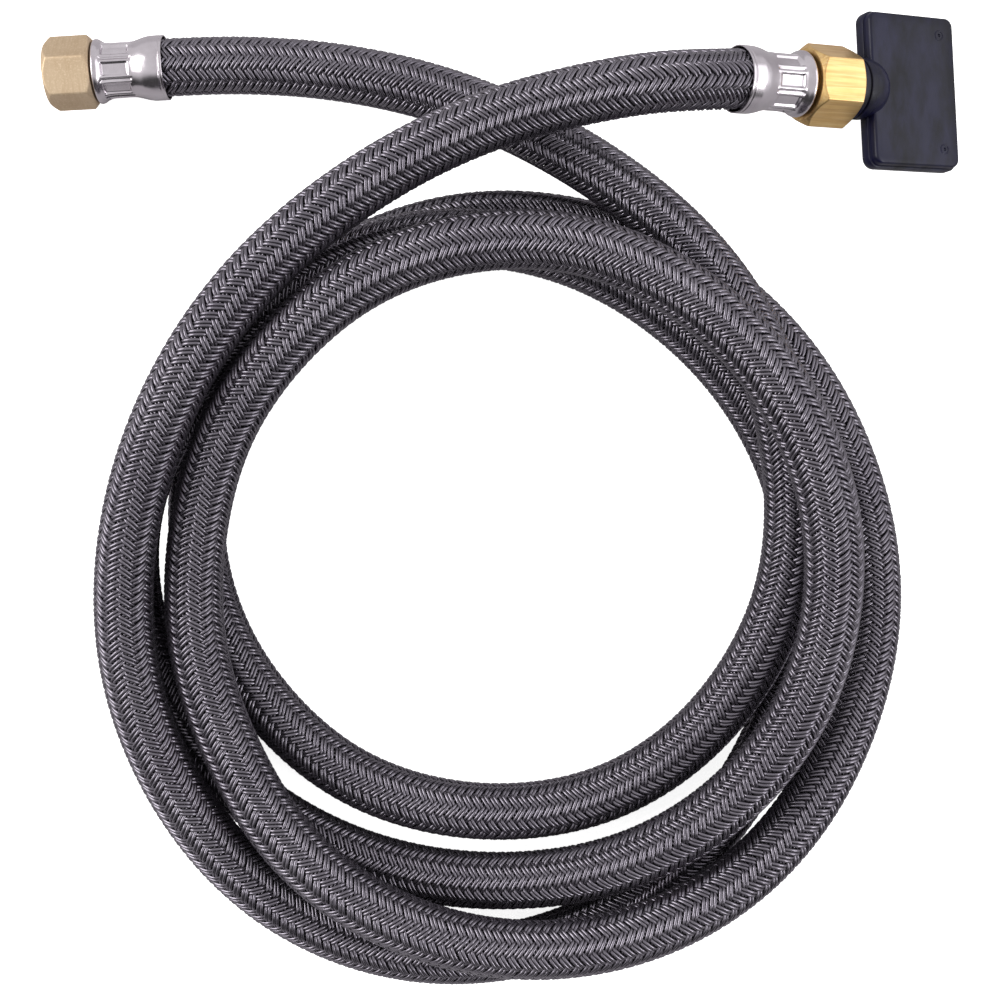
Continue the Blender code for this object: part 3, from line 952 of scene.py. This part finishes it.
def plug(name, look):
    """The plug: stub, ringed collar, domed neck and a stepped grip plate with ejector marks."""
    body = plug_stub(name, look)
    plate = grip_plate(name + "_plate", look)
    turn_out(body.data)
    turn_out(plate.data)
    join(body, plate, "UNION")
    x = PLATE_START + PLATE_LENGTH - MARK_FROM_END
    for y in (PLATE_WIDTH / 2 - MARK_FROM_SIDES[0], -PLATE_WIDTH / 2 + MARK_FROM_SIDES[1]):
        ejector_mark(body, (x, y), look)
    body.data.shade_smooth()
    body.data.set_sharp_from_angle(angle=math.radians(35))
    return body


def turn_out(mesh):
    """Makes a mesh's faces point outward."""
    work = bmesh.new()
    work.from_mesh(mesh)
    bmesh.ops.recalc_face_normals(work, faces=work.faces)
    work.to_mesh(mesh)
    work.free()


def join(body, other, operation):
    """Applies an exact Boolean with another object, which is then removed."""
    change = body.modifiers.new("join", "BOOLEAN")
    change.operation = operation
    change.object = other
    change.solver = "EXACT"
    depsgraph = bpy.context.evaluated_depsgraph_get()
    mesh = bpy.data.meshes.new_from_object(body.evaluated_get(depsgraph), depsgraph=depsgraph)
    body.modifiers.remove(change)
    body.data = mesh
    bpy.data.objects.remove(other)


# ---------------------------------------------------------------- the whole part

def stand_in(made, body, slot, *nodes, matrix=None):
    """Places a piece, lets it ride on a body and hides the CAD nodes it stands for."""
    if matrix is not None:
        made.matrix_world = matrix
    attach(made, body)
    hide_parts(*nodes)


def hose():
    """The braid and the liner."""
    points = hose_route()
    woven = braid(points, braid_look())
    stand_in(woven, "hose", "braid", "hose_braid")
    stand_in(liner(points, liner_look()), "hose", "liner", "hose_liner")


def fittings():
    """Both ends: ferrule, nut, nipple and washer, and the plug in nut B."""
    steel = steel_look()
    stem = stem_look()
    rubber = rubber_look()
    matt = nut_a_look()
    bright = nut_b_look()
    # the end's letter, where it lies, the ferrule's roll and length, and the nut's roll, sizes and look
    ends = (
        ("a", (MOUTH_A, TURN_A, DROP_A), (FERRULE_ROLL_A, FERRULE_A_LENGTH),
         (NUT_ROLL_A, NUT_A_FLATS, NUT_A_START, NUT_A_LENGTH, NUT_A_SLOPES, matt)),
        ("b", (MOUTH_B, TURN_B, DROP_B), (FERRULE_ROLL_B, FERRULE_B_LENGTH),
         (NUT_ROLL_B, NUT_B_FLATS, NUT_B_START, NUT_B_LENGTH, NUT_B_SLOPES, bright)),
    )
    for end, place, (roll, ferrule_length), (nut_roll, flats, start, length, slopes, brass) in ends:
        stand_in(ferrule("crimp_" + end, ferrule_length, steel), "hose", "steel", "ferrule_" + end,
                 matrix=fitting_matrix(*place, roll))
        stand_in(nut("hexagon_" + end, flats, start, length, slopes, brass),
                 "nut_" + end, "brass_" + end, "nut_" + end, matrix=fitting_matrix(*place, nut_roll))
        stand_in(nipple("stem_" + end, stem), "hose", "brass_stem", "nipple_" + end,
                 matrix=fitting_matrix(*place))
        stand_in(cone_washer("washer_" + end, rubber), "hose", "rubber", "cone_washer_" + end,
                 matrix=fitting_matrix(*place))
    stand_in(plug("grip_plug", plastic_look()), "plug", "plastic", "plug",
             matrix=fitting_matrix(MOUTH_B, TURN_B, DROP_B, PLUG_ROLL))


camera()
hose()
studio()
fittings()
bpy.context.view_layer.update()
